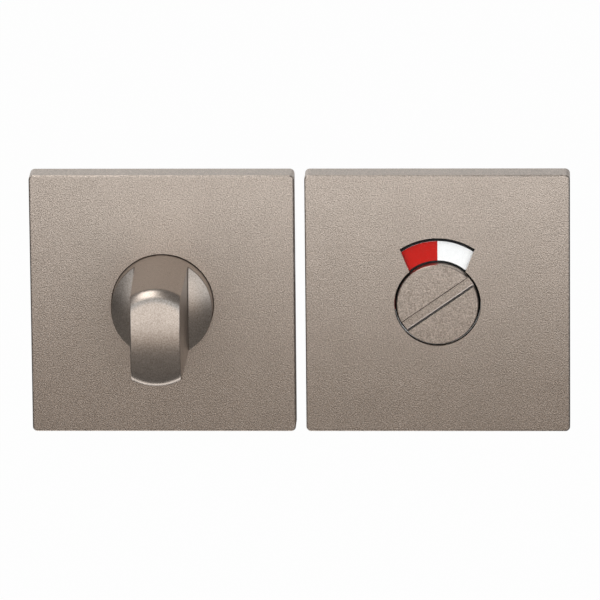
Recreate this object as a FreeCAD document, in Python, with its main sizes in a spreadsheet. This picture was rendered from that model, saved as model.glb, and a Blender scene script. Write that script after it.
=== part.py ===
import FreeCAD, Part
import math
import os

import Sketcher

# Bathroom thumb turn lock: the inside half with its thumb turn, and beside it the outside half
# with its slotted release and indicator window. X is right, Z is up, and Y goes into the door.
# The door face is Y = 0. A height in a name or comment is the distance out from the door face.

os.makedirs("parts", exist_ok=True)
doc = FreeCAD.newDocument("bathroom_thumb_turn_lock")
sizes = doc.addObject("Spreadsheet::Sheet", "sizes")

SIZES = [
    # Square covers
    ("rose_side", 50.0),
    ("rose_depth", 5.5),
    ("rose_gap", 2.0),
    ("cover_wall", 1.0),
    ("corner_radius", 0.9),
    ("edge_radius", 0.35),
    ("cover_play", 0.1),
    ("hole_edge", 0.06),
    # Spring clips that hold the covers
    ("clip_thickness", 0.4),
    ("clip_width", 8.0),
    ("clip_bow", 0.3),
    ("clip_bow_height", 2.6),
    ("clip_foot", 1.0),
    ("clip_play", 0.1),
    # Cast bases
    ("base_floor", 1.6),
    ("base_rib", 1.4),
    ("rib_height", 3.6),
    ("boss_wall", 1.8),
    ("spigot_radius", 9.2),
    ("spigot_length", 3.0),
    # Fixing bolts and sleeves
    ("bolt_inset", 6.0),
    ("bolt_radius", 2.0),
    ("bolt_length", 35.0),
    ("bolt_play", 0.15),
    ("bolt_head_radius", 3.8),
    ("bolt_head_height", 2.2),
    ("bolt_tip", 0.4),
    ("shank_relief", 0.22),
    ("shank_reach", 0.5),
    ("bolt_seat", 2.0),
    ("hex_key", 2.5),
    ("hex_depth", 1.4),
    ("sleeve_radius", 3.2),
    ("sleeve_length", 22.0),
    ("sleeve_bore_radius", 1.65),
    ("sleeve_bore_depth", 18.0),
    ("sleeve_head_radius", 4.2),
    ("sleeve_head_height", 0.8),
    # Bearings
    ("neck_radius", 6.85),
    ("neck_tail", 7.2),
    ("running_gap", 0.05),
    ("bush_wall", 1.0),
    ("end_gap", 0.05),
    ("groove_radius", 6.2),
    ("circlip_thickness", 1.0),
    ("circlip_width", 1.6),
    ("circlip_mouth", 3.2),
    ("circlip_lug_radius", 1.2),
    ("circlip_hole_radius", 0.5),
    ("washer_thickness", 0.5),
    ("washer_width", 2.2),
    ("washer_play", 0.15),
    ("spring_thickness", 0.3),
    ("spring_bow", 0.8),
    # Thumb turn
    ("knob_radius", 9.6),
    ("knob_play", 0.1),
    ("knob_lift", 0.3),
    ("rim_height", 3.6),
    ("dome_radius", 22.0),
    ("grip_reach", 28.0),
    ("grip_root", 10.0),
    ("grip_front", 9.3),
    ("grip_front_radius", 9.35),
    ("crown_radius", 27.0),
    ("crown_stock", 1.0),
    ("crown_fillet", 3.0),
    ("root_fillet", 0.3),
    ("grip_edge", 0.2),
    ("stop_radius", 9.5),
    ("stop_depth", 2.2),
    ("stop_width", 30.0),
    ("stop_start", 225.0),
    ("turn_angle", 90.0),
    ("stop_play", 1.0),
    # Square spindle and its pin
    ("spindle_side", 8.0),
    ("spindle_reach", 43.0),
    ("spindle_corner", 0.5),
    ("socket_play", 0.05),
    ("socket_floor", 1.0),
    ("pin_radius", 1.0),
    ("pin_place", 1.5),
    # Slotted release and indicator
    ("hub_radius", 7.7),
    ("hub_proud", 0.6),
    ("hub_play", 0.45),
    ("slot_width", 2.0),
    ("slot_depth", 1.2),
    ("slot_angle", 35.0),
    ("hub_edge", 0.15),
    ("drive_radius", 7.5),
    ("drive_flats", 13.9),
    ("drive_play", 0.05),
    ("disc_radius", 12.15),
    ("disc_thickness", 0.8),
    ("disc_recess", 1.6),
    ("disc_play", 0.4),
    ("disc_lift", 0.2),
    ("red_angle", 100.0),
    ("red_thickness", 0.3),
    ("red_inset", 0.3),
    ("peg_radius", 0.9),
    ("peg_circle", 10.2),
    ("peg_length", 1.2),
    ("peg_play", 0.15),
    ("release_angle", 45.0),
    # Indicator window
    ("window_radius", 12.8),
    ("window_half_top", 7.1),
    ("window_half_foot", 5.3),
    ("window_foot", 6.2),
    ("pane_flange", 0.45),
    ("pane_lip", 1.4),
    ("pane_play", 0.2),
    ("pane_sink", 0.2),
    ("pane_spread", 52.0),
]

for row, (alias, number) in enumerate(SIZES, start=1):
    sizes.set("A%d" % row, str(number))
    sizes.setAlias("A%d" % row, alias)
doc.recompute()

# Heights above the door face that several pieces share
COVER_INSIDE = "(sizes.rose_depth - sizes.cover_wall)"
WELL_FLOOR = "(%s - sizes.knob_lift)" % COVER_INSIDE
DISC_FRONT = "(sizes.rose_depth - sizes.disc_recess)"
DISC_BACK = "(%s - sizes.disc_thickness)" % DISC_FRONT
RECESS_FLOOR = "(%s - sizes.disc_lift)" % DISC_BACK
SPIGOT_END = "(-sizes.spigot_length)"

# Widths and radii that several pieces share
INSIDE_HALF = "(sizes.rose_side / 2 - sizes.cover_wall)"
BASE_HALF = "(%s - sizes.cover_play)" % INSIDE_HALF
BUSH_BORE = "(sizes.neck_radius + sizes.running_gap)"
BUSH_OUTSIDE = "(%s + sizes.bush_wall)" % BUSH_BORE
KNOB_HOLE = "(sizes.knob_radius + sizes.knob_play)"
HUB_HOLE = "(sizes.hub_radius + sizes.hub_play)"
HALF_SPACING = "(sizes.rose_side / 2 - sizes.bolt_inset)"
ROSE_PITCH = "(sizes.rose_side + sizes.rose_gap)"


def new_body(label, moved="0"):
    """One piece of the lock, moved sideways by an expression."""
    body = doc.addObject("PartDesign::Body", label)
    body.Label = label
    body.setExpression("Placement.Base.x", moved)
    return body


def origin_plane(body, role):
    """The body's own origin plane with this role."""
    return [plane for plane in body.Origin.OriginFeatures if plane.Role == role][0]


def new_sketch(body, name, role, height="0"):
    """A sketch on an origin plane, lifted along the plane's normal."""
    sketch = body.newObject("Sketcher::SketchObject", name)
    sketch.AttachmentSupport = [(origin_plane(body, role), "")]
    sketch.MapMode = "FlatFace"
    sketch.setExpression("AttachmentOffset.Base.z", height)
    return sketch


def front_sketch(body, name, height="0"):
    """A sketch seen from the front of the door: across, then up."""
    return new_sketch(body, name, "XZ_Plane", height)


def fix(sketch, kind, place, expression):
    """Bind one dimension of a sketch to an expression."""
    index = sketch.addConstraint(Sketcher.Constraint(kind, *place))
    sketch.setExpression("Constraints[%d]" % index, expression)


def point_at(sketch, across, up):
    """A construction point whose two coordinates are expressions."""
    count = sketch.GeometryCount
    start = FreeCAD.Vector(count + 1, count * count + 2, 0)
    point = sketch.addGeometry(Part.Point(start), True)
    fix(sketch, "DistanceX", (-1, 1, point, 1, start.x), across)
    fix(sketch, "DistanceY", (-1, 1, point, 1, start.y), up)
    return point


def circle(sketch, across, up, radius):
    """A full circle."""
    centre = point_at(sketch, across, up)
    found = sketch.Geometry[centre]
    middle = FreeCAD.Vector(found.X, found.Y, 0)
    ring = sketch.addGeometry(Part.Circle(middle, FreeCAD.Vector(0, 0, 1), 1))
    sketch.addConstraint(Sketcher.Constraint("Coincident", ring, 3, centre, 1))
    fix(sketch, "Radius", (ring, 1), radius)


def bowed_side(start, end, side):
    """An arc from start to end that bows out to one side: 1 is left of the way, -1 is right."""
    chord = end - start
    across = FreeCAD.Vector(-chord.y, chord.x, 0)
    centre = (start + end) / 2 - across * side * math.sqrt(0.75)
    ring = Part.Circle(centre, FreeCAD.Vector(0, 0, 1), chord.Length)
    first, last = (end, start) if side > 0 else (start, end)
    return Part.ArcOfCircle(ring, ring.parameter(first), ring.parameter(last))


def outline(sketch, corners, bows=None):
    """A closed loop through corners. bows maps a side's number to (radius, side it bows to)."""
    bows = bows or {}
    points = [point_at(sketch, across, up) for across, up in corners]
    doc.recompute()
    places = [FreeCAD.Vector(sketch.Geometry[p].X, sketch.Geometry[p].Y, 0) for p in points]
    for number, point in enumerate(points):
        after = (number + 1) % len(points)
        if number in bows:
            radius, side = bows[number]
            edge = sketch.addGeometry(bowed_side(places[number], places[after], side))
            first, last = (2, 1) if side > 0 else (1, 2)
        else:
            edge = sketch.addGeometry(Part.LineSegment(places[number], places[after]))
            first, last = 1, 2
        sketch.addConstraint(Sketcher.Constraint("Coincident", edge, first, point, 1))
        sketch.addConstraint(Sketcher.Constraint("Coincident", edge, last, points[after], 1))
        if number in bows:
            fix(sketch, "Radius", (edge, sketch.Geometry[edge].Radius), radius)


def rectangle(sketch, half_across, half_up):
    """A rectangle about the sketch's origin."""
    left = "-%s" % half_across
    low = "-%s" % half_up
    outline(sketch, [(left, low), (half_across, low), (half_across, half_up), (left, half_up)])


def sector(sketch, inner, outer, first_angle, last_angle):
    """A piece of a ring between two angles in degrees, at most half a turn."""
    angles = [first_angle, first_angle, last_angle, last_angle]
    radii = [inner, outer, outer, inner]
    corners = [
        ("%s * cos((%s) * 1 deg)" % pair, "%s * sin((%s) * 1 deg)" % pair) for pair in zip(radii, angles)
    ]
    outline(sketch, corners, {1: (outer, -1), 3: (inner, 1)})


def pad(body, sketch, length, **settings):
    """Raise a sketch by a length."""
    feature = body.newObject("PartDesign::Pad", sketch.Name + "_pad")
    feature.Profile = sketch
    feature.setExpression("Length", length)
    for name, value in settings.items():
        setattr(feature, name, value)
    return feature


def pocket(body, sketch, depth=None, **settings):
    """Cut a sketch to a depth, or right through."""
    feature = body.newObject("PartDesign::Pocket", sketch.Name + "_cut")
    feature.Profile = sketch
    if depth is None:
        feature.Type = "ThroughAll"
    else:
        feature.setExpression("Length", depth)
    for name, value in settings.items():
        setattr(feature, name, value)
    return feature


def turned(body, name, corners, bows=None, kind="PartDesign::Revolution"):
    """A profile of (radius, height) corners turned about the spindle axis."""
    sketch = new_sketch(body, name, "XY_Plane")
    outline(sketch, [(radius, "-(%s)" % height) for radius, height in corners], bows)
    feature = body.newObject(kind, name + "_turned")
    feature.Profile = sketch
    feature.ReferenceAxis = (sketch, ["V_Axis"])
    feature.Angle = 360
    return feature


def dress(body, kind, name, test, setting, size):
    """Fillet or chamfer the edges of the body's last shape that pass a test."""
    doc.recompute()
    tip = body.Tip
    found = [
        "Edge%d" % number
        for number, edge in enumerate(tip.Shape.Edges, start=1)
        if test(edge)
    ]
    feature = body.newObject(kind, name)
    feature.Base = (tip, found)
    feature.setExpression(setting, size)
    return feature


def size_of(alias):
    """A size from the sheet as a number."""
    return float(getattr(sizes, alias))


def runs_along_y(edge):
    """True for a straight edge square to the door."""
    ends = [vertex.Point for vertex in edge.Vertexes]
    return len(ends) == 2 and abs(abs(ends[0].y - ends[1].y) - edge.Length) < 1e-6


def round_corners(body, radius="sizes.corner_radius"):
    """Round the upright corners of a square piece."""
    half = max(abs(vertex.X) for vertex in body.Tip.Shape.Vertexes)
    return dress(
        body,
        "PartDesign::Fillet",
        body.Label + "_corners",
        lambda edge: runs_along_y(edge) and abs(abs(edge.Vertexes[0].X) - half) < 1e-6,
        "Radius",
        radius,
    )


# Covers


def square_cap(label, moved="0"):
    """A square cap with rounded corners and front edges, hollow from behind."""
    cap = new_body(label, moved)
    outside = front_sketch(cap, label + "_outside")
    rectangle(outside, "sizes.rose_side / 2", "sizes.rose_side / 2")
    pad(cap, outside, "sizes.rose_depth")
    doc.recompute()
    round_corners(cap)
    front = -size_of("rose_depth")
    dress(
        cap,
        "PartDesign::Fillet",
        label + "_front_edge",
        lambda edge: all(abs(vertex.Y - front) < 1e-6 for vertex in edge.Vertexes),
        "Radius",
        "sizes.edge_radius",
    )
    inside = front_sketch(cap, label + "_inside", COVER_INSIDE)
    rectangle(inside, INSIDE_HALF, INSIDE_HALF)
    pocket(cap, inside, COVER_INSIDE)
    groove = front_sketch(cap, label + "_clip_grooves", "sizes.clip_bow_height + 3 * sizes.clip_bow")
    half = "(sizes.clip_width / 2 + 2 * sizes.clip_play)"
    rectangle(groove, half, "(%s + sizes.clip_bow)" % INSIDE_HALF)
    pocket(cap, groove, "6 * sizes.clip_bow")
    return cap


def bevel_hole(cap):
    """Break the front edge of the round hole in a cover."""
    front = -size_of("rose_depth")
    inside = size_of("rose_side") / 2 - size_of("cover_wall")
    dress(
        cap,
        "PartDesign::Chamfer",
        cap.Label + "_hole_edge",
        lambda edge: all(abs(v.Y - front) < 1e-6 and abs(v.X) < inside for v in edge.Vertexes),
        "Size",
        "sizes.hole_edge",
    )


def turn_cover():
    """The inside half's cap, with a round hole that slips over the thumb turn."""
    cap = square_cap("turn_cover")
    hole = front_sketch(cap, "turn_hole", "sizes.rose_depth")
    circle(hole, "0", "0", KNOB_HOLE)
    pocket(cap, hole, "2 * sizes.cover_wall")
    bevel_hole(cap)
    return cap


def window_outline(sketch, grow):
    """The window: an arc on top, slanted sides, and a foot that ends inside the round hole."""
    top_half = "(sizes.window_half_top + %s)" % grow
    foot_half = "(sizes.window_half_foot + %s)" % grow
    radius = "(sizes.window_radius + %s)" % grow
    top = "sqrt(pow(%s; 2) - pow(%s; 2))" % (radius, top_half)
    corners = [
        ("-%s" % foot_half, "sizes.window_foot"),
        (foot_half, "sizes.window_foot"),
        (top_half, top),
        ("-%s" % top_half, top),
    ]
    outline(sketch, corners, {2: (radius, -1)})


def release_cover():
    """The outside half's cap, with a round hole for the release and a window above it."""
    cap = square_cap("release_cover", ROSE_PITCH)
    hole = front_sketch(cap, "release_hole", "sizes.rose_depth")
    circle(hole, "0", "0", HUB_HOLE)
    pocket(cap, hole, "2 * sizes.cover_wall")
    bevel_hole(cap)
    window = front_sketch(cap, "release_window", "sizes.rose_depth")
    window_outline(window, "0")
    pocket(cap, window, "2 * sizes.cover_wall")
    return cap


# Bases


def ribbed_base(label, boss_radius, boss_height, moved="0"):
    """A cast base: floor, outer wall, ribs, bolt bosses, a central boss and a spigot behind."""
    base = new_body(label, moved)
    floor = front_sketch(base, label + "_floor")
    rectangle(floor, BASE_HALF, BASE_HALF)
    pad(base, floor, "sizes.base_floor")

    wall = front_sketch(base, label + "_wall", "sizes.base_floor")
    rectangle(wall, BASE_HALF, BASE_HALF)
    inner_half = "(%s - sizes.base_rib)" % BASE_HALF
    rectangle(wall, inner_half, inner_half)
    pad(base, wall, "%s - sizes.base_floor" % COVER_INSIDE)

    boss = front_sketch(base, label + "_boss", "sizes.base_floor")
    circle(boss, "0", "0", boss_radius)
    pad(base, boss, "%s - sizes.base_floor" % boss_height)

    seats = front_sketch(base, label + "_bolt_bosses", "sizes.base_floor")
    for side in ("-", ""):
        circle(seats, side + HALF_SPACING, "0", "%s - %s" % (BASE_HALF, HALF_SPACING))
    pad(base, seats, "sizes.bolt_seat - sizes.base_floor")

    rib = front_sketch(base, label + "_rib", "sizes.base_floor")
    reach = "(%s - sizes.base_rib / 2)" % BASE_HALF
    outline(
        rib,
        [
            ("sizes.spigot_radius", "-sizes.base_rib / 2"),
            (reach, "-sizes.base_rib / 2"),
            (reach, "sizes.base_rib / 2"),
            ("sizes.spigot_radius", "sizes.base_rib / 2"),
        ],
    )
    rib_pad = pad(base, rib, "sizes.rib_height - sizes.base_floor")
    doc.recompute()
    star = base.newObject("PartDesign::PolarPattern", label + "_ribs")
    star.Originals = [rib_pad]
    star.Axis = (rib, ["N_Axis"])
    star.Angle = 360
    star.Occurrences = 8
    base.Tip = star

    clip_notches(base)

    spigot = front_sketch(base, label + "_spigot")
    circle(spigot, "0", "0", "sizes.spigot_radius")
    pad(base, spigot, "sizes.spigot_length", Reversed=True)

    bore = front_sketch(base, label + "_bore", boss_height)
    circle(bore, "0", "0", BUSH_OUTSIDE)
    pocket(base, bore)
    return base


# Heights and places of the cover clips, along the Z axis
CLIP_WALL = "(%s - sizes.clip_thickness - sizes.clip_play)" % BASE_HALF
CLIP_TOP = "(%s - sizes.clip_play)" % COVER_INSIDE
WALL_INSIDE = "(%s - sizes.base_rib)" % BASE_HALF


def clip_notches(base):
    """Lower and thin the outer wall, top and bottom, where the cover clips sit."""
    half = "(sizes.clip_width / 2 + sizes.clip_play)"
    label = base.Label
    for side, name in (("", "_upper"), ("-", "_lower")):
        low = "%s(%s - 1)" % (side, WALL_INSIDE)
        high = "%s(%s + 1)" % (side, BASE_HALF)
        face = "%s%s" % (side, CLIP_WALL)
        saddle = front_sketch(base, label + name + "_saddle", COVER_INSIDE)
        outline(saddle, [("-" + half, low), (half, low), (half, high), ("-" + half, high)])
        pocket(base, saddle, "sizes.clip_thickness + sizes.clip_play")
        recess = front_sketch(base, label + name + "_recess", COVER_INSIDE)
        outline(recess, [("-" + half, face), (half, face), (half, high), ("-" + half, high)])
        pocket(base, recess, "%s - sizes.clip_foot + sizes.clip_play" % COVER_INSIDE)


def cover_clip():
    """A bent strip of spring steel: hooked over the wall, with a bow that clicks into the cover."""
    clip = new_body("cover_clip")
    outside = "(%s + sizes.clip_thickness)" % CLIP_WALL
    inside = "(%s - sizes.clip_thickness)" % WALL_INSIDE
    saddle = "(%s - sizes.clip_thickness)" % CLIP_TOP
    bow = "sizes.clip_bow_height"
    foot = "sizes.clip_foot"
    inner_foot = "(sizes.rib_height + sizes.clip_play)"
    section = new_sketch(clip, "clip_section", "YZ_Plane")
    path = [
        (inner_foot, inside),
        (CLIP_TOP, inside),
        (CLIP_TOP, outside),
        ("%s + 2 * sizes.clip_bow" % bow, outside),
        (bow, "%s + sizes.clip_play + sizes.clip_bow" % outside),
        ("%s - 2 * sizes.clip_bow" % bow, outside),
        (foot, outside),
        (foot, CLIP_WALL),
        ("%s - 2.5 * sizes.clip_bow" % bow, CLIP_WALL),
        (bow, "%s + sizes.clip_bow" % CLIP_WALL),
        ("%s + 2.5 * sizes.clip_bow" % bow, CLIP_WALL),
        (saddle, CLIP_WALL),
        (saddle, WALL_INSIDE),
        (inner_foot, WALL_INSIDE),
    ]
    outline(section, [("-(%s)" % height, up) for height, up in path])
    pad(clip, section, "sizes.clip_width", Midplane=True)
    return clip


def bolt_holes(base, radius):
    """Two clearance holes on the fixing centres, opened out over the seats for the heads."""
    holes = front_sketch(base, base.Label + "_bolt_holes", COVER_INSIDE)
    heads = front_sketch(base, base.Label + "_head_room", COVER_INSIDE)
    for side in ("-", ""):
        circle(holes, side + HALF_SPACING, "0", radius)
        circle(heads, side + HALF_SPACING, "0", "sizes.sleeve_head_radius + sizes.bolt_play")
    pocket(base, holes)
    pocket(base, heads, "%s - sizes.bolt_seat" % COVER_INSIDE)


def turn_base():
    """The inside half's base, with a well for the thumb turn's foot and an arc that stops it."""
    boss_radius = "(%s + sizes.boss_wall)" % KNOB_HOLE
    base = ribbed_base("turn_base", boss_radius, COVER_INSIDE)
    well = front_sketch(base, "knob_well", COVER_INSIDE)
    circle(well, "0", "0", KNOB_HOLE)
    pocket(base, well, "sizes.knob_lift")
    stop = front_sketch(base, "stop_arc", WELL_FLOOR)
    margin = "sizes.stop_width / 2 + sizes.stop_play"
    sector(
        stop,
        BUSH_BORE,
        "(sizes.stop_radius + sizes.knob_play)",
        "sizes.stop_start - (%s)" % margin,
        "sizes.stop_start + sizes.turn_angle + %s" % margin,
    )
    pocket(base, stop, "sizes.stop_depth + sizes.knob_lift")
    bolt_holes(base, "sizes.bolt_radius + sizes.bolt_play")
    return base


def release_base():
    """The outside half's base, with a round recess for the indicator and an arc for its peg."""
    recess_radius = "(sizes.disc_radius + sizes.disc_play)"
    boss_radius = "(%s + sizes.boss_wall)" % recess_radius
    pane_back = "(%s - sizes.pane_flange)" % COVER_INSIDE
    base = ribbed_base("release_base", boss_radius, pane_back, ROSE_PITCH)
    recess = front_sketch(base, "indicator_recess", pane_back)
    circle(recess, "0", "0", recess_radius)
    pocket(base, recess, "%s - %s" % (pane_back, RECESS_FLOOR))
    arc = front_sketch(base, "peg_arc", RECESS_FLOOR)
    reach = "(sizes.peg_radius + sizes.peg_play)"
    swing = "(sizes.release_angle + asin(%s / sizes.peg_circle) / 1 deg)" % reach
    sector(
        arc,
        "(sizes.peg_circle - %s)" % reach,
        "(sizes.peg_circle + %s)" % reach,
        "270 - %s" % swing,
        "270 + %s" % swing,
    )
    pocket(base, arc, "sizes.peg_length")
    bolt_holes(base, "sizes.sleeve_radius + sizes.bolt_play")
    return base


# Bearings


def bush(label, front, moved="0"):
    """A plain acetal bush pressed into the base, flush with the spigot's end."""
    piece = new_body(label, moved)
    turned(
        piece,
        label + "_profile",
        [(BUSH_BORE, SPIGOT_END), (BUSH_OUTSIDE, SPIGOT_END), (BUSH_OUTSIDE, front), (BUSH_BORE, front)],
    )
    return piece


def flat_washer(label, moved="0"):
    """A flat steel washer against the spigot's end."""
    piece = new_body(label, moved)
    inner = "(sizes.neck_radius + sizes.washer_play)"
    outer = "(%s + sizes.washer_width)" % inner
    back = "(%s - sizes.washer_thickness)" % SPIGOT_END
    turned(
        piece,
        label + "_profile",
        [(inner, back), (outer, back), (outer, SPIGOT_END), (inner, SPIGOT_END)],
    )
    return piece


def spring_washer(label, moved="0"):
    """A curved spring washer: a ring cut from a thin sheet bowed about the upright axis."""
    piece = new_body(label, moved)
    inner = "(sizes.neck_radius + sizes.washer_play)"
    outer = "(%s + sizes.washer_width)" % inner
    half = "(%s + 1)" % outer
    bow_radius = "((pow(%s; 2) + pow(sizes.spring_bow; 2)) / (2 * sizes.spring_bow))" % outer
    top = "(%s - sizes.washer_thickness)" % SPIGOT_END
    drop = "(%s - sqrt(pow(%s; 2) - pow(%s; 2)))" % (bow_radius, bow_radius, half)
    high_end = "-(%s - %s)" % (top, drop)
    low_end = "-(%s - %s - sizes.spring_thickness)" % (top, drop)
    sheet = new_sketch(piece, label + "_sheet", "XY_Plane")
    outline(
        sheet,
        [("-" + half, high_end), (half, high_end), (half, low_end), ("-" + half, low_end)],
        {0: (bow_radius, -1), 2: (bow_radius, 1)},
    )
    pad(piece, sheet, "2 * %s" % half, Midplane=True)
    ring = front_sketch(piece, label + "_ring")
    rectangle(ring, "(2 * %s)" % half, "(2 * %s)" % half)
    circle(ring, "0", "0", outer)
    pocket(piece, ring, Midplane=True)
    bore = front_sketch(piece, label + "_bore")
    circle(bore, "0", "0", inner)
    pocket(piece, bore, Midplane=True)
    return piece


SPRING_BACK = "(%s - sizes.washer_thickness - sizes.spring_bow - sizes.spring_thickness)" % SPIGOT_END
CIRCLIP_FRONT = "(%s - sizes.end_gap)" % SPRING_BACK


def circlip(label, moved="0"):
    """An outside circlip: a ring with a mouth between two drilled lugs."""
    piece = new_body(label, moved)
    inner = "(sizes.groove_radius + sizes.running_gap)"
    outer = "(%s + sizes.circlip_width)" % inner
    ring = front_sketch(piece, label + "_ring", "%s - sizes.circlip_thickness" % CIRCLIP_FRONT)
    circle(ring, "0", "0", outer)
    pad(piece, ring, "sizes.circlip_thickness")
    lugs = front_sketch(piece, label + "_lugs", "%s - sizes.circlip_thickness" % CIRCLIP_FRONT)
    lug_place = "(sizes.circlip_mouth / 2 + sizes.circlip_lug_radius)"
    lug_height = "(%s + 0.2 * sizes.circlip_lug_radius)" % outer
    for side in ("-", ""):
        circle(lugs, side + lug_place, "-" + lug_height, "sizes.circlip_lug_radius")
    pad(piece, lugs, "sizes.circlip_thickness")
    bore = front_sketch(piece, label + "_bore", CIRCLIP_FRONT)
    circle(bore, "0", "0", inner)
    for side in ("-", ""):
        circle(bore, side + lug_place, "-" + lug_height, "sizes.circlip_hole_radius")
    pocket(piece, bore)
    mouth = front_sketch(piece, label + "_mouth", CIRCLIP_FRONT)
    half = "(sizes.circlip_mouth / 2)"
    outline(mouth, [("-" + half, "-2 * " + outer), (half, "-2 * " + outer), (half, "0"), ("-" + half, "0")])
    pocket(piece, mouth)
    return piece


# Thumb turn and spindle


def neck_profile(root):
    """The neck's corners from its root back past the circlip groove to its end."""
    groove_front = "(%s + sizes.end_gap)" % CIRCLIP_FRONT
    groove_back = "(%s - sizes.circlip_thickness)" % CIRCLIP_FRONT
    return [
        ("sizes.neck_radius", root),
        ("sizes.neck_radius", groove_front),
        ("sizes.groove_radius", groove_front),
        ("sizes.groove_radius", groove_back),
        ("sizes.neck_radius", groove_back),
        ("sizes.neck_radius", "-sizes.neck_tail"),
        ("0", "-sizes.neck_tail"),
    ]


def square_socket(piece, floor):
    """The square hole for the spindle, cut from the neck's end up to a floor."""
    half = "(sizes.spindle_side / 2 + sizes.socket_play)"
    hole = front_sketch(piece, piece.Label + "_socket", "-sizes.neck_tail")
    rectangle(hole, half, half)
    pocket(piece, hole, "%s + sizes.neck_tail" % floor, Reversed=True)


def thumb_turn():
    """The thumb turn: a round foot with a domed floor, a tapered grip across it, and its neck."""
    knob = new_body("thumb_turn")
    rim = "(sizes.rose_depth + sizes.rim_height)"
    dome_rise = "(sizes.dome_radius - sqrt(pow(sizes.dome_radius; 2) - pow(sizes.knob_radius; 2)))"
    foot = [
        ("0", "%s + %s" % (rim, dome_rise)),
        ("sizes.knob_radius", rim),
        ("sizes.knob_radius", COVER_INSIDE),
    ]
    turned(knob, "foot", foot + neck_profile(COVER_INSIDE), {0: ("sizes.dome_radius", -1)})

    front = "(sizes.rose_depth + sizes.grip_reach)"
    beyond = "(%s + sizes.crown_stock)" % front
    slope = "((sizes.grip_root - sizes.grip_front) / 2 / (sizes.grip_reach - sizes.rim_height))"
    root_half = "(sizes.grip_root / 2)"
    beyond_half = "(sizes.grip_front / 2 - %s * sizes.crown_stock)" % slope
    grip = new_sketch(knob, "grip", "XY_Plane")
    outline(
        grip,
        [
            ("-" + root_half, "-" + rim),
            (root_half, "-" + rim),
            (beyond_half, "-" + beyond),
            ("-" + beyond_half, "-" + beyond),
        ],
    )
    pad(knob, grip, "2 * sizes.knob_radius", Midplane=True)

    taper = "((sizes.knob_radius - sizes.grip_front_radius) / (sizes.grip_reach - sizes.rim_height))"
    cut_half = "(sizes.knob_radius * 2)"
    turned(
        knob,
        "grip_round",
        [
            ("sizes.knob_radius", rim),
            (cut_half, rim),
            (cut_half, beyond),
            ("(sizes.grip_front_radius - %s * sizes.crown_stock)" % taper, beyond),
        ],
        kind="PartDesign::Groove",
    )

    crown = new_sketch(knob, "crown", "YZ_Plane")
    crown_centre = "-(%s - sizes.crown_radius)" % front
    circle(crown, crown_centre, "0", "sizes.crown_radius")
    circle(crown, crown_centre, "0", "sizes.crown_radius + sizes.grip_reach")
    pocket(knob, crown, "4 * sizes.knob_radius", Midplane=True)

    soften_grip(knob)

    lug = front_sketch(knob, "stop_lug", "%s - sizes.stop_depth" % COVER_INSIDE)
    sector(
        lug,
        "(%s + sizes.knob_play)" % BUSH_OUTSIDE,
        "sizes.stop_radius",
        "sizes.stop_start - sizes.stop_width / 2",
        "sizes.stop_start + sizes.stop_width / 2",
    )
    pad(knob, lug, "sizes.stop_depth")

    square_socket(knob, "(%s - sizes.socket_floor)" % COVER_INSIDE)
    cross = new_sketch(knob, "pin_hole", "YZ_Plane")
    circle(cross, "sizes.pin_place", "0", "sizes.pin_radius")
    pocket(knob, cross, "4 * sizes.neck_radius", Midplane=True)
    return knob


def soften_grip(knob):
    """Round the ends of the crowned front, then the long edges of the grip, then its root."""
    half_grip = size_of("grip_front") / 2
    half_root = size_of("grip_root") / 2
    root = -(size_of("rose_depth") + size_of("rim_height"))
    middle = root - size_of("grip_reach") / 4

    def crown_end(edge):
        box = edge.BoundBox
        return box.YMax < middle and box.XLength > 1.5 * half_grip

    def flank_edge(edge):
        box = edge.BoundBox
        return box.YMin < middle and box.XLength < 0.2 * half_grip and abs(box.Center.x) > 0.8 * half_grip

    def root_edge(edge):
        box = edge.BoundBox
        return box.YMin > middle and box.ZLength > half_grip and abs(abs(box.Center.x) - half_root) < 0.1

    dress(knob, "PartDesign::Fillet", "grip_root", root_edge, "Radius", "sizes.root_fillet")
    dress(knob, "PartDesign::Fillet", "crown_ends", crown_end, "Radius", "sizes.crown_fillet")
    dress(knob, "PartDesign::Fillet", "grip_edges", flank_edge, "Radius", "sizes.grip_edge")


def square_spindle():
    """The square bar that goes through the door, cross-drilled for its pin."""
    bar = new_body("turn_spindle")
    half = "(sizes.spindle_side / 2)"
    section = front_sketch(bar, "spindle_section", "-sizes.spindle_reach")
    rectangle(section, half, half)
    pad(bar, section, "sizes.spindle_reach + %s - sizes.socket_floor - sizes.end_gap" % COVER_INSIDE)
    doc.recompute()
    round_corners(bar, "sizes.spindle_corner")
    cross = new_sketch(bar, "spindle_pin_hole", "YZ_Plane")
    circle(cross, "sizes.pin_place", "0", "sizes.pin_radius")
    pocket(bar, cross, "4 * sizes.neck_radius", Midplane=True)
    return bar


def spindle_pin():
    """The pin that holds the spindle in the neck, kept in by the bush around it."""
    pin = new_body("spindle_pin")
    section = new_sketch(pin, "pin_section", "YZ_Plane")
    circle(section, "sizes.pin_place", "0", "sizes.pin_radius")
    pad(pin, section, "2 * (sizes.neck_radius - sizes.washer_play)", Midplane=True)
    return pin


# Release and indicator


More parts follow.
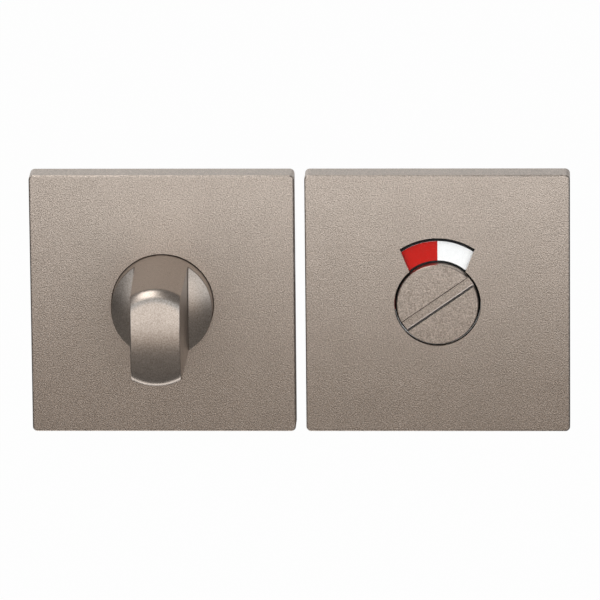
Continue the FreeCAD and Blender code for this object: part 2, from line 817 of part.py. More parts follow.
def release_hub():
    """The slotted disc with its drive section, its neck and a square socket behind."""
    hub = new_body("release_hub", ROSE_PITCH)
    face = "(sizes.rose_depth + sizes.hub_proud)"
    disc = [("0", face), ("sizes.hub_radius", face), ("sizes.hub_radius", DISC_FRONT)]
    turned(hub, "hub", disc + neck_profile(DISC_FRONT))

    drive = front_sketch(hub, "drive_section", DISC_BACK)
    drive_section(drive, "0")
    pad(hub, drive, "sizes.disc_thickness")
    square_socket(hub, DISC_BACK)

    slot = front_sketch(hub, "slot", face)
    slot.AttachmentOffset.Rotation.Axis = FreeCAD.Vector(0, 0, 1)
    slot.setExpression("AttachmentOffset.Rotation.Angle", "sizes.slot_angle * 1 deg")
    rectangle(slot, "(2 * sizes.hub_radius)", "(sizes.slot_width / 2)")
    pocket(hub, slot, "sizes.slot_depth")
    front = -(size_of("rose_depth") + size_of("hub_proud"))
    dress(
        hub,
        "PartDesign::Chamfer",
        "hub_edges",
        lambda edge: all(abs(vertex.Y - front) < 1e-6 for vertex in edge.Vertexes),
        "Size",
        "sizes.hub_edge",
    )
    return hub


def drive_section(sketch, grow):
    """A circle with two flats."""
    radius = "(sizes.drive_radius + %s)" % grow
    half = "(sizes.drive_flats / 2 + %s)" % grow
    reach = "sqrt(pow(%s; 2) - pow(%s; 2))" % (radius, half)
    corners = [("-" + reach, "-" + half), (reach, "-" + half), (reach, half), ("-" + reach, half)]
    outline(sketch, corners, {1: (radius, -1), 3: (radius, -1)})


def indicator_disc():
    """The white indicator: a thin disc driven by two flats, with a peg behind it."""
    disc = new_body("indicator_disc", ROSE_PITCH)
    plate = front_sketch(disc, "indicator_plate", DISC_BACK)
    circle(plate, "0", "0", "sizes.disc_radius")
    pad(disc, plate, "sizes.disc_thickness")
    peg = front_sketch(disc, "indicator_peg", "%s - sizes.peg_length" % DISC_BACK)
    circle(peg, "0", "-sizes.peg_circle", "sizes.peg_radius")
    pad(disc, peg, "sizes.peg_length")
    middle = front_sketch(disc, "indicator_drive", DISC_FRONT)
    drive_section(middle, "sizes.drive_play")
    pocket(disc, middle)
    field = front_sketch(disc, "red_seat", DISC_FRONT)
    red_sector(field)
    pocket(disc, field, "sizes.red_thickness")
    return disc


def red_sector(sketch):
    """The red part of the ring, to the left of the upright line at rest."""
    inner = "(sizes.hub_radius + sizes.red_inset)"
    sector(sketch, inner, "(sizes.disc_radius - sizes.red_inset)", "90", "90 + sizes.red_angle")


def indicator_red_field():
    """The red part of the indicator, set flush into the white disc."""
    field = new_body("indicator_red_field", ROSE_PITCH)
    plate = front_sketch(field, "red_plate", "%s - sizes.red_thickness" % DISC_FRONT)
    red_sector(plate)
    pad(field, plate, "sizes.red_thickness")
    return field


def indicator_window():
    """The clear pane: a flange held behind the cover, with a raised light in the window."""
    pane = new_body("indicator_window", ROSE_PITCH)
    flange = front_sketch(pane, "pane_flange", "%s - sizes.pane_flange" % COVER_INSIDE)
    sector(
        flange,
        HUB_HOLE,
        "(sizes.window_radius + sizes.pane_lip)",
        "90 - sizes.pane_spread",
        "90 + sizes.pane_spread",
    )
    pad(pane, flange, "sizes.pane_flange")
    light = front_sketch(pane, "pane_light", COVER_INSIDE)
    window_outline(light, "-sizes.pane_play")
    pad(pane, light, "sizes.cover_wall - sizes.pane_sink")
    bore = front_sketch(pane, "pane_bore", "sizes.rose_depth")
    circle(bore, "0", "0", HUB_HOLE)
    pocket(pane, bore)
    return pane


# Fixings


def pair_of(label, single, offset=0.0, turn=0.0, moved="0"):
    """Two like fasteners as one group, set apart sideways or turned about the spindle axis."""
    group = doc.addObject("Part::Compound", label)
    copies = []
    for side, angle in ((-1, 0), (1, turn)):
        copy = doc.addObject("Part::Feature", "%s_%d" % (label, len(copies)))
        copy.Shape = single.Shape
        spin = FreeCAD.Rotation(FreeCAD.Vector(0, 1, 0), angle)
        copy.Placement = FreeCAD.Placement(FreeCAD.Vector(side * offset, 0, 0), spin)
        copies.append(copy)
    group.Label = label
    group.Links = copies
    group.setExpression("Placement.Base.x", moved)
    return group


def through_bolt():
    """An M4 bolt: round head with a hexagon socket, plain shank in the base, thread behind it."""
    bolt = new_body("through_bolt")
    head_top = "(sizes.bolt_seat + sizes.bolt_head_height)"
    shank = "(sizes.bolt_radius - sizes.shank_relief)"
    tip = "(sizes.bolt_seat - sizes.bolt_length)"
    turned(
        bolt,
        "bolt",
        [
            ("0", head_top),
            ("sizes.bolt_head_radius", head_top),
            ("sizes.bolt_head_radius", "sizes.bolt_seat"),
            (shank, "sizes.bolt_seat"),
            (shank, "-sizes.shank_reach"),
            ("sizes.bolt_radius", "-sizes.shank_reach"),
            ("sizes.bolt_radius", "%s + sizes.bolt_tip" % tip),
            ("sizes.bolt_radius - sizes.bolt_tip", tip),
            ("0", tip),
        ],
    )
    key = front_sketch(bolt, "hex_key", head_top)
    across = "(sizes.hex_key / sqrt(3))"
    corners = [
        ("%s * cos(%d deg)" % (across, angle), "%s * sin(%d deg)" % (across, angle))
        for angle in range(0, 360, 60)
    ]
    outline(key, corners)
    pocket(bolt, key, "sizes.hex_depth")
    return bolt


def threaded_sleeve():
    """A round sleeve with a flat head, bored from its end for the bolt."""
    sleeve = new_body("threaded_sleeve")
    head_top = "(sizes.bolt_seat + sizes.sleeve_head_height)"
    tip = "-sizes.sleeve_length"
    depth = "(%s + sizes.sleeve_bore_depth)" % tip
    turned(
        sleeve,
        "sleeve",
        [
            ("0", head_top),
            ("sizes.sleeve_head_radius", head_top),
            ("sizes.sleeve_head_radius", "sizes.bolt_seat"),
            ("sizes.sleeve_radius", "sizes.bolt_seat"),
            ("sizes.sleeve_radius", tip),
            ("sizes.sleeve_bore_radius", tip),
            ("sizes.sleeve_bore_radius", depth),
            ("0", depth),
        ],
    )
    return sleeve


def check(pieces):
    """Stop if any object failed, cut nothing or is not a sound solid."""
    for item in doc.Objects:
        if {"Invalid", "Error"} & set(item.State):
            raise ValueError("%s failed: %s" % (item.Label, item.State))
        if item.TypeId in ("PartDesign::Pocket", "PartDesign::Groove"):
            if item.Shape.Volume > item.BaseFeature.Shape.Volume - 1e-4:
                raise ValueError("%s cuts nothing" % item.Label)
    for piece in pieces:
        if piece.Shape.isNull() or not piece.Shape.isValid():
            raise ValueError("%s has no sound shape" % piece.Label)


pieces = [
    turn_cover(),
    turn_base(),
    bush("turn_bush", "(%s - sizes.end_gap)" % COVER_INSIDE),
    flat_washer("turn_flat_washer"),
    spring_washer("turn_spring_washer"),
    circlip("turn_circlip"),
    thumb_turn(),
    square_spindle(),
    spindle_pin(),
    release_cover(),
    release_base(),
    bush("release_bush", "(%s - sizes.end_gap)" % DISC_BACK, ROSE_PITCH),
    flat_washer("release_flat_washer", ROSE_PITCH),
    spring_washer("release_spring_washer", ROSE_PITCH),
    circlip("release_circlip", ROSE_PITCH),
    release_hub(),
    indicator_disc(),
    indicator_red_field(),
    indicator_window(),
]
bolt = through_bolt()
sleeve = threaded_sleeve()
clip = cover_clip()
doc.recompute()
half_spacing = size_of("rose_side") / 2 - size_of("bolt_inset")
pieces.append(pair_of("turn_through_bolts", bolt, offset=half_spacing))
pieces.append(pair_of("release_sleeves", sleeve, offset=half_spacing, moved=ROSE_PITCH))
pieces.append(pair_of("turn_cover_clips", clip, turn=180))
pieces.append(pair_of("release_cover_clips", clip, turn=180, moved=ROSE_PITCH))
doc.recompute()
check(pieces)

for piece in pieces:
    piece.Shape.exportStep("parts/%s.step" % piece.Label)
    print("%-24s %8.1f mm3" % (piece.Label, piece.Shape.Volume))
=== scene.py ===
import math

import bpy
import numpy as np
from mathutils import Matrix, Vector


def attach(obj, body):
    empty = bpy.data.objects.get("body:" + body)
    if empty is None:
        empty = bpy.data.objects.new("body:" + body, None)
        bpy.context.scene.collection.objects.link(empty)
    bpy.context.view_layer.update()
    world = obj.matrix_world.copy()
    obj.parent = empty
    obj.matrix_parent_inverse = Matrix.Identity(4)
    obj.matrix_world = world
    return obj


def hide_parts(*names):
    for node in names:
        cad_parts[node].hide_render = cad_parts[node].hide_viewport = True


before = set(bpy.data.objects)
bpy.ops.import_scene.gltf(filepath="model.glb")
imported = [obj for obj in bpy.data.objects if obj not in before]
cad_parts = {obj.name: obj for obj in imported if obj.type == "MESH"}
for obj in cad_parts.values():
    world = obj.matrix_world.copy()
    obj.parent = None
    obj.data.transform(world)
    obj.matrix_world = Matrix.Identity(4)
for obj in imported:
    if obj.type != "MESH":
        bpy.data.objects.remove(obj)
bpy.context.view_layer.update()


# Bases
# Each rose is built on a square zinc die casting with ribs, a spigot for the door and seats for
# the two fixings. It has a thin matt black coat over the slightly grainy skin of the casting.

class Wire:
    """A shader socket in a sum: each operator on it adds one Math node."""

    def __init__(self, tree, socket=None):
        self.tree = tree
        self.socket = socket

    def node(self, kind, settings=None, inputs=None, output=0):
        """One node of any kind: its settings first, then its sockets' values or links."""
        made = self.tree.nodes.new(kind)
        for name, value in (settings or {}).items():
            if name == "stops":
                self.fill_ramp(made.color_ramp, value)
            else:
                setattr(made, name, value)
        for name, value in (inputs or {}).items():
            if isinstance(value, Wire):
                self.tree.links.new(value.socket, made.inputs[name])
            else:
                made.inputs[name].default_value = value
        return Wire(self.tree, made.outputs[output])

    def fill_ramp(self, ramp, stops):
        """Place a ramp's stops, given as (position, colour)."""
        while len(ramp.elements) > len(stops):
            ramp.elements.remove(ramp.elements[-1])
        while len(ramp.elements) < len(stops):
            ramp.elements.new(1.0)
        for element, (position, colour) in zip(ramp.elements, stops):
            element.position = position
            element.color = colour

    def maths(self, operation, first, second=0.0):
        """A Math node with two inputs."""
        return self.node("ShaderNodeMath", {"operation": operation}, {0: first, 1: second})

    def vector(self, operation, first, second=(0.0, 0.0, 0.0), output="Vector"):
        """A Vector Math node with two inputs."""
        settings = {"operation": operation}
        return self.node("ShaderNodeVectorMath", settings, {0: first, 1: second}, output)

    def __add__(self, other):
        return self.maths("ADD", self, other)

    def __sub__(self, other):
        return self.maths("SUBTRACT", self, other)

    def __rsub__(self, other):
        return self.maths("SUBTRACT", other, self)

    def __mul__(self, other):
        return self.maths("MULTIPLY", self, other)

    __radd__ = __add__
    __rmul__ = __mul__


def new_material(name, **constants):
    """An empty material with one Principled shader. Returns it, its wires and its shader node."""
    material = bpy.data.materials.new(name)
    material.use_nodes = True
    tree = material.node_tree
    tree.nodes.clear()
    shader = tree.nodes.new("ShaderNodeBsdfPrincipled")
    output = tree.nodes.new("ShaderNodeOutputMaterial")
    tree.links.new(shader.outputs[0], output.inputs["Surface"])
    for socket, value in constants.items():
        shader.inputs[socket.replace("_", " ")].default_value = value
    return material, Wire(tree), shader


def feed(shader, socket, wire):
    """Link a wire into one of the shader's sockets."""
    wire.tree.links.new(wire.socket, shader.inputs[socket])


NOISE_ROUGHNESS = 0.6
EVEN = (1.0, 1.0, 1.0)


def speckle(wire, size, detail=2.0, stretch=EVEN):
    """Noise from 0 to 1 whose grains are about this many metres across, drawn out by a stretch."""
    place = wire.node("ShaderNodeTexCoord", output="Object")
    if stretch != EVEN:
        place = wire.vector("MULTIPLY", place, stretch)
    return wire.node(
        "ShaderNodeTexNoise",
        {"noise_dimensions": "3D"},
        {"Vector": place, "Scale": 1.0 / size, "Detail": detail, "Roughness": NOISE_ROUGHNESS},
    )


def between(wire, factor, dark, light, low=0.35, high=0.65):
    """A colour from a dark to a light one as the factor goes from low to high."""
    return wire.node("ShaderNodeValToRGB", {"stops": [(low, dark), (high, light)]}, {0: factor})


def roughen(wire, shader, grain, relief, smoothest, spread, strength, depth):
    """Roughness that rises from its smoothest by a spread with a grain, and a bump by a relief.

    The relief goes from 0 to 1, and stands for a depth in metres.
    """
    feed(shader, "Roughness", smoothest + grain * spread)
    sockets = {"Strength": strength, "Distance": depth, "Height": relief}
    feed(shader, "Normal", wire.node("ShaderNodeBump", {}, sockets))


def dress(material, *nodes):
    """Put a material into every slot of the CAD pieces."""
    for node in nodes:
        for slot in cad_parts[node].material_slots:
            slot.material = material


BLACK_COAT = (0.022, 0.022, 0.023, 1.0)
WORN_COAT = (0.055, 0.054, 0.052, 1.0)
CASTING_GRAIN = 0.0006
CASTING_FLOW = 0.008


def black_casting():
    """Black coat, greyer in slow patches, over the pitted skin of a die casting."""
    material, wire, shader = new_material("black_casting", Specular_IOR_Level=0.4)
    pits = speckle(wire, CASTING_GRAIN, 3.0)
    flow = speckle(wire, CASTING_FLOW)
    feed(shader, "Base Color", between(wire, flow * 0.7 + pits * 0.3, BLACK_COAT, WORN_COAT))
    roughen(wire, shader, pits, pits, smoothest=0.42, spread=0.2, strength=0.5, depth=0.00008)
    return material


dress(black_casting(), "turn_base", "release_base")


# Bushes
# An off-white acetal bush clips into each base, and the neck of the thumb turn or of the release
# turns in it. It is moulded, with a faint cloudiness and no paint.

ACETAL_CLEAR = (0.80, 0.79, 0.75, 1.0)
ACETAL_CLOUD = (0.72, 0.70, 0.65, 1.0)
ACETAL_CLOUD_SIZE = 0.003
MOULD_GRAIN = 0.0003


def moulded_acetal():
    """Milky plastic, clouded by slow noise, with the soft texture of the mould."""
    material, wire, shader = new_material(
        "moulded_acetal", Subsurface_Weight=0.15, Subsurface_Scale=0.001
    )
    cloud = speckle(wire, ACETAL_CLOUD_SIZE)
    skin = speckle(wire, MOULD_GRAIN)
    feed(shader, "Base Color", between(wire, cloud, ACETAL_CLOUD, ACETAL_CLEAR))
    roughen(wire, shader, skin, skin, smoothest=0.3, spread=0.15, strength=0.2, depth=0.00003)
    return material


dress(moulded_acetal(), "turn_bush", "release_bush")


# Washers, pin and spindle
# A flat washer bears on each bush. The spindle is 8 mm square drawn bar, pinned into the thumb
# turn's neck. All are steel, zinc plated: a bluish skin with drawing lines along the bar.

ZINC_LIGHT = (0.56, 0.58, 0.60, 1.0)
ZINC_DARK = (0.40, 0.42, 0.45, 1.0)
PLATING_GRAIN = 0.0004
PLATING_MOTTLE = 0.002
ALONG_THE_BAR = (1.0, 0.03, 1.0)


def zinc_plate(name, stretch):
    """Plated steel, mottled, with lines along the axis where the stretch is small."""
    material, wire, shader = new_material(name, Metallic=1.0)
    lines = speckle(wire, PLATING_GRAIN, 3.0, stretch)
    mottle = speckle(wire, PLATING_MOTTLE)
    feed(shader, "Base Color", between(wire, lines * 0.6 + mottle * 0.4, ZINC_DARK, ZINC_LIGHT))
    roughen(wire, shader, lines, lines, smoothest=0.32, spread=0.2, strength=0.35, depth=0.00004)
    return material


pressed_zinc = zinc_plate("pressed_zinc_plate", EVEN)
drawn_zinc = zinc_plate("drawn_zinc_plate", ALONG_THE_BAR)
dress(pressed_zinc, "turn_flat_washer", "release_flat_washer")
dress(drawn_zinc, "turn_spindle", "spindle_pin")


# Spring washers, circlips and cover clips
# These are hardened spring steel, oiled and dark blue-grey. The spring washers take up the end
# play, the circlips hold the necks, and the clips hold the covers on the bases.

SPRING_BLUE = (0.13, 0.14, 0.165, 1.0)
SPRING_STRAW = (0.22, 0.20, 0.18, 1.0)
TEMPER_DRIFT = 0.004
SPRING_GRAIN = 0.00025


def oiled_spring_steel():
    """Dark tempered steel whose colour drifts from blue to straw, under a thin film of oil."""
    material, wire, shader = new_material(
        "oiled_spring_steel", Metallic=1.0, Coat_Weight=0.3, Coat_Roughness=0.15
    )
    temper = speckle(wire, TEMPER_DRIFT)
    grain = speckle(wire, SPRING_GRAIN)
    feed(shader, "Base Color", between(wire, temper, SPRING_BLUE, SPRING_STRAW))
    roughen(wire, shader, grain, grain, smoothest=0.3, spread=0.2, strength=0.25, depth=0.00002)
    return material


dress(
    oiled_spring_steel(),
    "turn_spring_washer",
    "release_spring_washer",
    "turn_circlip",
    "release_circlip",
    "turn_cover_clips",
    "release_cover_clips",
)


# Fixings
# Two M4 bolts with round heads and hexagon sockets go through the door from the thumb turn's
# base, and screw into the two flanged sleeves of the outside base. Both are zinc plated steel.

BOLT_MIDDLE_MM = 19.0
BOLT_COLUMNS = 48
KEY_MM = 2.5
THREAD_RADIUS_MM = 2.0
THREAD_START_MM = 0.5
THREAD_END_MM = 32.4
PITCH_MM = 0.7
THREAD_DEPTH_MM = 0.38
ROWS_A_TURN = 6
VEE_STEEPNESS = 1.35
CREST_FLAT = 0.1
SHARP_EDGE = math.radians(30.0)
# Each profile lists its radius and its place along the axis, which runs into the door. The radii
# of the socket's wall are measured on from the key's hexagon.
SOCKET_FLOOR_MM = -2.9
SOCKET_WALL_MM = [(0.0, -3.0), (0.0, -4.1), (0.12, -4.2)]
HEAD_MM = [(3.3, -4.2), (3.62, -4.12), (3.76, -3.95), (3.8, -3.7), (3.8, -2.1), (3.7, -2.0)]
SHANK_MM = [(1.78, -2.0), (1.78, 0.4)]
TIP_MM = [(1.62, 32.6), (1.5, 33.0), (0.0, 33.0)]


def hexagon(angle, across_flats):
    """Distance from the middle to a regular hexagon's side in a direction, corners at 0, 60..."""
    third = math.pi / 3
    return across_flats / 2 / np.cos(np.mod(angle, third) - third / 2)


def thread_depth(height, angle):
    """How deep a vee thread is: a wave that climbs one pitch a turn, and runs out at both ends."""
    phase = np.mod(height / PITCH_MM - angle / (2 * math.pi), 1.0)
    vee = np.clip(VEE_STEEPNESS * (1.0 - np.abs(2.0 * phase - 1.0)) - CREST_FLAT, 0.0, 1.0)
    from_end = np.minimum(height - THREAD_START_MM, THREAD_END_MM - height)
    return vee * np.clip(from_end / PITCH_MM, 0.0, 1.0) * THREAD_DEPTH_MM


def bolt_surface(middle_x):
    """One bolt in millimetres, as rows of points along its axis, from the socket's floor on."""
    angle = np.linspace(0.0, 2 * math.pi, BOLT_COLUMNS, endpoint=False)
    full = np.ones_like(angle)
    thread = np.arange(THREAD_START_MM, THREAD_END_MM, PITCH_MM / ROWS_A_TURN)
    climbing = THREAD_RADIUS_MM - thread_depth(thread[:, None], angle[None, :])
    head = [(0.0, SOCKET_FLOOR_MM)]
    head += [(hexagon(angle, KEY_MM) + beyond, y) for beyond, y in SOCKET_WALL_MM]
    head += HEAD_MM + SHANK_MM
    radius = np.vstack([r * full for r, _ in head] + [climbing] + [r * full for r, _ in TIP_MM])
    height = np.concatenate([[y for _, y in head], thread, [y for _, y in TIP_MM]])
    across = radius * np.cos(angle) + middle_x
    along = height[:, None] * np.ones_like(radius)
    return np.stack([across, along, radius * np.sin(angle)], axis=-1)


def round_skin(name, surfaces, material):
    """One object of closed surfaces, whose rows of points are joined round and from row to row.

    The first and the last row of a surface are drawn to one point each.
    """
    points, faces, start = [], [], 0
    for rows in surfaces:
        count, around = rows.shape[:2]
        inner = rows[1:-1].reshape(-1, 3)
        points += [inner, rows[0, :1], rows[-1, :1]]
        ring = np.arange(around)
        onward = (ring + 1) % around
        row_starts = start + np.arange(count - 3)[:, None] * around
        first = (row_starts + ring).ravel()
        after = (row_starts + onward).ravel()
        faces += np.stack([first, first + around, after + around, after], axis=1).tolist()
        near, far = start + len(inner), start + len(inner) + 1
        last = start + (count - 3) * around
        pole = [np.full(around, near), start + ring, start + onward]
        tail = [np.full(around, far), last + onward, last + ring]
        faces += np.stack(pole, axis=1).tolist() + np.stack(tail, axis=1).tolist()
        start += len(inner) + 2
    mesh = bpy.data.meshes.new(name)
    mesh.from_pydata((np.vstack(points) / 1000.0).tolist(), [], faces)
    mesh.materials.append(material)
    mesh.update()
    mesh.polygons.foreach_set("use_smooth", np.ones(len(mesh.polygons), dtype=bool))
    mesh.set_sharp_from_angle(angle=SHARP_EDGE)
    piece = bpy.data.objects.new(name, mesh)
    bpy.context.scene.collection.objects.link(piece)
    return piece


both_bolts = [bolt_surface(BOLT_MIDDLE_MM), bolt_surface(-BOLT_MIDDLE_MM)]
through_bolts = round_skin("threaded_bolts", both_bolts, pressed_zinc)
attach(through_bolts, "root")
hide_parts("turn_through_bolts")
dress(pressed_zinc, "release_sleeves")


# Indicator
# A black moulded disc, printed matt white in a band as wide as the window, with a red field let
# into half of it, turns with the release behind the cover. The window shows red when it is thrown.

RELEASE_X = 0.052
BAND_INSIDE = 0.0081
BAND_OUTSIDE = 0.01186
WHITE_CLEAN = (0.95, 0.95, 0.94, 1.0)
WHITE_SHADED = (0.91, 0.91, 0.90, 1.0)
# Painted shade: the bare black beside the printed band shows in the window as a dark line along its
# edges.
DISC_BLACK_AND_EDGE_SHADE = (0.012, 0.012, 0.012, 1.0)
RED_FULL = (0.55, 0.006, 0.0015, 1.0)
RED_THIN = (0.49, 0.007, 0.002, 1.0)
INK_MOTTLE = 0.0008
PRINT_PEEL = 0.0004


def blend_colours(wire, factor, first, second):
    """The first colour where the factor is 0, and the second where it is 1."""
    return wire.node("ShaderNodeMix", {"data_type": "RGBA"}, {0: factor, 6: first, 7: second}, 2)


def inside(wire, value, low, high):
    """1 where the value lies between low and high, and 0 elsewhere."""
    return wire.maths("GREATER_THAN", value, low) * wire.maths("LESS_THAN", value, high)


def distance_from_axis(wire, middle_x):
    """How far a point is from an axis that runs into the door at this x."""
    place = wire.node("ShaderNodeTexCoord", output="Object")
    centred = wire.vector("SUBTRACT", place, (middle_x, 0.0, 0.0))
    flat = wire.vector("MULTIPLY", centred, (1.0, 0.0, 1.0))
    return wire.vector("LENGTH", flat, output="Value")


def printed_plastic(name, dark, light):
    """Matt print with a little mottle and orange peel in a ring; the bare black beside it is
    painted shade.
    """
    material, wire, shader = new_material(name, Specular_IOR_Level=0.04)
    mottle = speckle(wire, INK_MOTTLE)
    peel = speckle(wire, PRINT_PEEL)
    printed = inside(wire, distance_from_axis(wire, RELEASE_X), BAND_INSIDE, BAND_OUTSIDE)
    ink = between(wire, mottle, dark, light)
    feed(shader, "Base Color", blend_colours(wire, printed, DISC_BLACK_AND_EDGE_SHADE, ink))
    roughen(wire, shader, peel, peel, smoothest=0.5, spread=0.1, strength=0.1, depth=0.00002)
    return material


dress(printed_plastic("white_indicator", WHITE_SHADED, WHITE_CLEAN), "indicator_disc")
dress(printed_plastic("red_indicator", RED_THIN, RED_FULL), "indicator_red_field")


# Window
# A curved pane of clear acrylic is glued behind the slot in the outside cover, above the release.
# It is polished, with hair scratches that show only in its gloss.

PANE_TINT = (0.30, 0.31, 0.31, 1.0)
SCRATCH_WIDTH = 0.0005
ACROSS_THE_PANE = (0.1, 1.0, 1.0)


def clear_acrylic():
    """Clear sheet: almost all of it lets light through, and the rest is gloss."""
    material, wire, shader = new_material(
        "clear_acrylic", Alpha=0.02, Specular_IOR_Level=0.3, Base_Color=PANE_TINT
    )
    hairs = speckle(wire, SCRATCH_WIDTH, 2.0, ACROSS_THE_PANE)
    roughen(wire, shader, hairs, hairs, smoothest=0.04, spread=0.06, strength=0.05, depth=0.00001)
    return material


dress(clear_acrylic(), "indicator_window")


# Covers, thumb turn and release
# The two square covers, the thumb turn and the slotted release are stainless steel, blasted to a
# fine even grain and coated a warm taupe. The covers click over the bases and hide every screw.

TAUPE_LIGHT = (0.71, 0.606, 0.528, 1.0)
TAUPE_DARK = (0.32, 0.264, 0.220, 1.0)
TURN_LIGHT = (0.51, 0.438, 0.385, 1.0)
TURN_DARK = (0.305, 0.255, 0.215, 1.0)
TAUPE_LOW = 0.34
TAUPE_HIGH = 0.66
BLAST_GRAIN = 0.00023
FINE_GRAIN = 0.00011
BLAST_DEPTH = 0.00009
CLOUD_SIZE = 0.006
CLOUD_SHARE = 0.06
GLOSS_SPREAD = 0.12
SLOT_ANGLE = math.radians(35.0)
SLOT_HALF = 0.001
SLOT_REACH = 0.00765
SLOT_BACK = -0.0048
SHADE_LINE_WIDTH = 0.00009
HIGHLIGHT_LINE_END = 0.00032
SLOT_PAINTED_SHADE = (0.012, 0.011, 0.010, 1.0)
SLOT_PAINTED_HIGHLIGHT = (0.90, 0.80, 0.73, 1.0)


def paint_slot_light_and_shade(wire, colour):
    """Paint shade into the slot's two corners, and a painted highlight on the floor beside the
    lower one.

    Both are bands of the distance across the slot, which lies at an angle on the release's axis.
    They end at the disc's rim and behind the slot's floor.
    """
    place = wire.node("ShaderNodeTexCoord", output="Object")
    side_x, side_z = -math.sin(SLOT_ANGLE), math.cos(SLOT_ANGLE)
    across = wire.vector("DOT_PRODUCT", place, (side_x, 0.0, side_z), "Value") - RELEASE_X * side_x
    depth = wire.node("ShaderNodeSeparateXYZ", {}, {0: place}, "Y")
    in_rim = wire.maths("LESS_THAN", distance_from_axis(wire, RELEASE_X), SLOT_REACH)
    on_face = in_rim * wire.maths("LESS_THAN", depth, SLOT_BACK)
    from_corner = wire.maths("ABSOLUTE", wire.maths("ABSOLUTE", across) - SLOT_HALF)
    # Painted shade: both corners of the slot are drawn nearly black.
    painted_shade = on_face * wire.maths("LESS_THAN", from_corner, SHADE_LINE_WIDTH)
    # Painted highlight: a light band on the slot's floor beside the lower corner.
    painted_highlight = on_face * inside(wire, across, SHADE_LINE_WIDTH - SLOT_HALF, HIGHLIGHT_LINE_END - SLOT_HALF)
    colour = blend_colours(wire, painted_highlight, colour, SLOT_PAINTED_HIGHLIGHT)
    return blend_colours(wire, painted_shade, colour, SLOT_PAINTED_SHADE)


def satin_taupe(name, smoothest, strength, dark=TAUPE_DARK, light=TAUPE_LIGHT, slotted=False):
    """Warm metal, mottled by the blast grain, with a bump at the same scale."""
    material, wire, shader = new_material(name, Metallic=1.0)
    grain = speckle(wire, BLAST_GRAIN)
    fine = speckle(wire, FINE_GRAIN, 1.0)
    clouds = speckle(wire, CLOUD_SIZE)
    mottle = grain * 0.75 + fine * 0.25 + clouds * CLOUD_SHARE - CLOUD_SHARE / 2
    colour = between(wire, mottle, dark, light, TAUPE_LOW, TAUPE_HIGH)
    # The slot gets painted shade in its corners and a painted highlight beside the lower one.
    if slotted:
        colour = paint_slot_light_and_shade(wire, colour)
    feed(shader, "Base Color", colour)
    blasted = grain * 0.7 + fine * 0.3
    roughen(wire, shader, grain, blasted, smoothest, GLOSS_SPREAD, strength, BLAST_DEPTH)
    return material


dress(satin_taupe("satin_taupe_covers", 0.32, 1.0), "turn_cover", "release_cover")
dress(satin_taupe("satin_taupe_turn", 0.24, 0.16, TURN_DARK, TURN_LIGHT), "thumb_turn")
dress(satin_taupe("satin_taupe_slotted", 0.32, 0.9, slotted=True), "release_hub")


# Camera and studio
# The photograph looks down on the roses from a little to their right, through a long lens, on
# a white ground, with soft lamps above, in front, below and behind.

LENS_MM = 508.2
FILM_MM = 36.0
NEAREST = 0.1
FARTHEST = 20.0
CAMERA_PLACE = Vector((0.0826, -1.5525, 0.4071))
CAMERA_PAN = math.radians(-2.095)
CAMERA_TILT = math.radians(14.707)
CAMERA_ROLL = math.radians(-0.541)


def add_camera():
    """The camera, panned about the upright axis, then tilted down, then rolled."""
    lens = bpy.data.cameras.new("camera")
    lens.lens = LENS_MM
    lens.sensor_width = FILM_MM
    lens.clip_start = NEAREST
    lens.clip_end = FARTHEST
    camera = bpy.data.objects.new("camera", lens)
    bpy.context.scene.collection.objects.link(camera)
    pan = Matrix.Rotation(-CAMERA_PAN, 4, "Z")
    tilt = Matrix.Rotation(math.pi / 2 - CAMERA_TILT, 4, "X")
    roll = Matrix.Rotation(CAMERA_ROLL, 4, "Z")
    camera.matrix_world = Matrix.Translation(CAMERA_PLACE) @ (pan @ tilt) @ roll
    bpy.context.scene.camera = camera


def add_lamp(name, place, aim, width, height, watts, colour):
    """A rectangular soft lamp at a place, turned to face an aim, that the camera doesn't see."""
    lamp = bpy.data.lights.new(name, "AREA")
    lamp.shape = "RECTANGLE"
    lamp.size = width
    lamp.size_y = height
    lamp.energy = watts
    lamp.color = colour
    holder = bpy.data.objects.new(name, lamp)
    bpy.context.scene.collection.objects.link(holder)
    holder.location = place
    holder.rotation_euler = (Vector(aim) - Vector(place)).to_track_quat("-Z", "Y").to_euler()
    holder.visible_camera = False
    return holder


WHITE = (1.0, 1.0, 1.0)
WARM = (1.0, 0.82, 0.66)
COOL = (0.87, 0.94, 1.0)
COOLER = (0.80, 0.91, 1.0)
FAINTLY_COOL = (0.94, 0.98, 1.0)
NEARLY_WHITE = (0.99, 1.0, 1.0)
MIDDLE = (0.026, 0.0, 0.0)
# Name, place, aim, width, height, watts and colour
LAMPS = [
    ("near_front", (0.02, -0.30, 0.02), (0.02, 0.0, 0.02), 0.36, 0.20, 0.1023, WARM),
    ("close_front", (0.0475, -0.12, 0.015), (0.0475, 0.0, 0.015), 0.245, 0.08, 0.0206, WHITE),
    ("close_middle", (0.02, -0.12, 0.015), (0.02, 0.0, 0.015), 0.13, 0.06, 0.0087, COOL),
    ("hood", (0.055, -0.08, 0.035), (0.055, 0.0, 0.035), 0.23, 0.08, 0.0475, COOLER),
    ("overhead", (-0.07, -0.02, 0.30), (0.0, -0.02, 0.0), 0.36, 0.12, 0.4744, NEARLY_WHITE),
    ("back_high", (-0.10, 0.80, 0.30), MIDDLE, 0.80, 0.40, 0.6994, FAINTLY_COOL),
    ("behind", (0.02, 0.40, 0.0), MIDDLE, 0.50, 0.14, 0.1759, WHITE),
    ("under", (-0.01, 0.01, -0.10), (-0.01, -0.02, -0.02), 0.16, 0.05, 0.0402, WHITE),
]
# The fill lights what is matt, and doesn't show in the metal.
FILL = ("fill", (0.02, -0.50, 0.30), MIDDLE, 0.60, 0.40, 2.45, WHITE)

add_camera()
for lamp in LAMPS:
    add_lamp(*lamp)
add_lamp(*FILL).visible_glossy = False

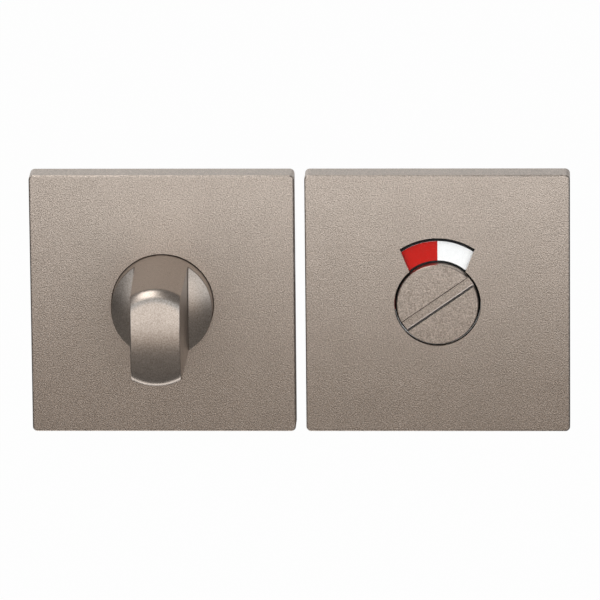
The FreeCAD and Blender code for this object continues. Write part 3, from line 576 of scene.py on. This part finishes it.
FLOOR_HEIGHT = -0.12
FLOOR_REACH = 6.0
FLOOR_POINTS = 3
FLOOR_SHADE = (0.2, 0.2, 0.2, 1.0)
FLOOR_WHITE = 0.985
FLOOR_IN_METAL = 0.03
WORLD_STRENGTH = 0.15
WORLD_IN_METAL = 0.10
GLOW_COLOUR = (1.0, 1.0, 1.0, 1.0)


def lit_for(wire, to_camera, to_metal):
    """One amount for rays from the camera or through a piece, and another for glossy rays."""
    seen = wire.node("ShaderNodeLightPath", output="Is Camera Ray")
    through = wire.node("ShaderNodeLightPath", output="Is Transmission Ray")
    glossy = wire.node("ShaderNodeLightPath", output="Is Glossy Ray")
    return (seen + through) * to_camera + glossy * to_metal


def add_floor():
    """A pale floor below the lock: nearly white to the camera, faint in the metal, else grey."""
    grid = np.linspace(-FLOOR_REACH, FLOOR_REACH, FLOOR_POINTS)
    across, deep = np.meshgrid(grid, grid)
    points = np.stack([across, deep, np.full_like(across, FLOOR_HEIGHT)], axis=-1).reshape(-1, 3)
    cells = np.arange(FLOOR_POINTS - 1)
    first = (cells[:, None] * FLOOR_POINTS + cells).ravel()
    beyond = first + FLOOR_POINTS
    faces = np.stack([first, first + 1, beyond + 1, beyond], axis=1)
    mesh = bpy.data.meshes.new("floor")
    mesh.from_pydata(points.tolist(), [], faces.tolist())
    floor = bpy.data.objects.new("floor", mesh)
    bpy.context.scene.collection.objects.link(floor)
    material, wire, shader = new_material("pale_floor", Roughness=0.9, Base_Color=FLOOR_SHADE)
    surface = shader.outputs[0].links[0].to_socket
    matt = Wire(wire.tree, shader.outputs[0])
    glow = wire.node("ShaderNodeEmission", {}, {"Color": GLOW_COLOUR, "Strength": 1.0})
    factor = lit_for(wire, FLOOR_WHITE, FLOOR_IN_METAL)
    mix = wire.node("ShaderNodeMixShader", {}, {0: factor, 1: matt, 2: glow})
    wire.tree.links.new(mix.socket, surface)
    mesh.materials.append(material)


def set_world():
    """A plain surround: white to the camera, a little stronger in metal than where it lights."""
    world = bpy.data.worlds.new("studio")
    world.use_nodes = True
    tree = world.node_tree
    tree.nodes.clear()
    wire = Wire(tree)
    strength = WORLD_STRENGTH + lit_for(wire, 1.0 - WORLD_STRENGTH, WORLD_IN_METAL)
    glow = wire.node("ShaderNodeBackground", {}, {"Color": GLOW_COLOUR, "Strength": strength})
    output = tree.nodes.new("ShaderNodeOutputWorld")
    tree.links.new(glow.socket, output.inputs["Surface"])
    bpy.context.scene.world = world


add_floor()
set_world()
bpy.context.scene.view_settings.view_transform = "Standard"
